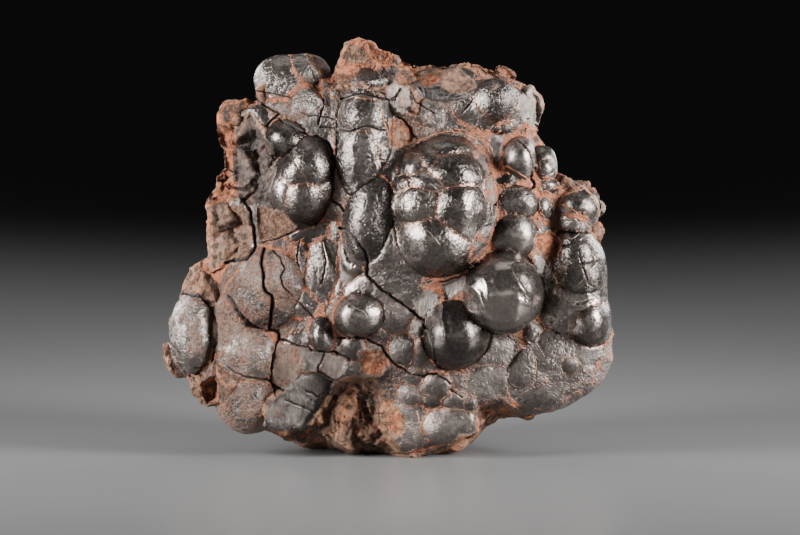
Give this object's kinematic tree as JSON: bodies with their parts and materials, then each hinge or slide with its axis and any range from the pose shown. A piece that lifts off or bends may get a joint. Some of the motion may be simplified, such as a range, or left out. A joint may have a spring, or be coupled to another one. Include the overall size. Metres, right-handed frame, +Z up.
{
  "type": "botryoidal hematite specimen",
  "caption": "Hand-sized lump of kidney ore: a crowd of rounded, lustrous dark domes on a broken rusty matrix, standing upright on a flat broken foot.",
  "frame": {"origin": "on the resting surface, under the middle of the lump's width and depth", "axes": "+Z up, kidneys face -Y, +X to the right seen from the front"},
  "size_m": [0.1152, 0.0674, 0.1043],
  "materials": {
    "hematite": "semi-metallic dark grey domes with a soft sheen, rust-orange and pinkish dust in the creases, dull brown broken matrix"
  },
  "bodies": {
    "root": {"hematite_specimen": "hematite"}
  },
  "joints": []
}
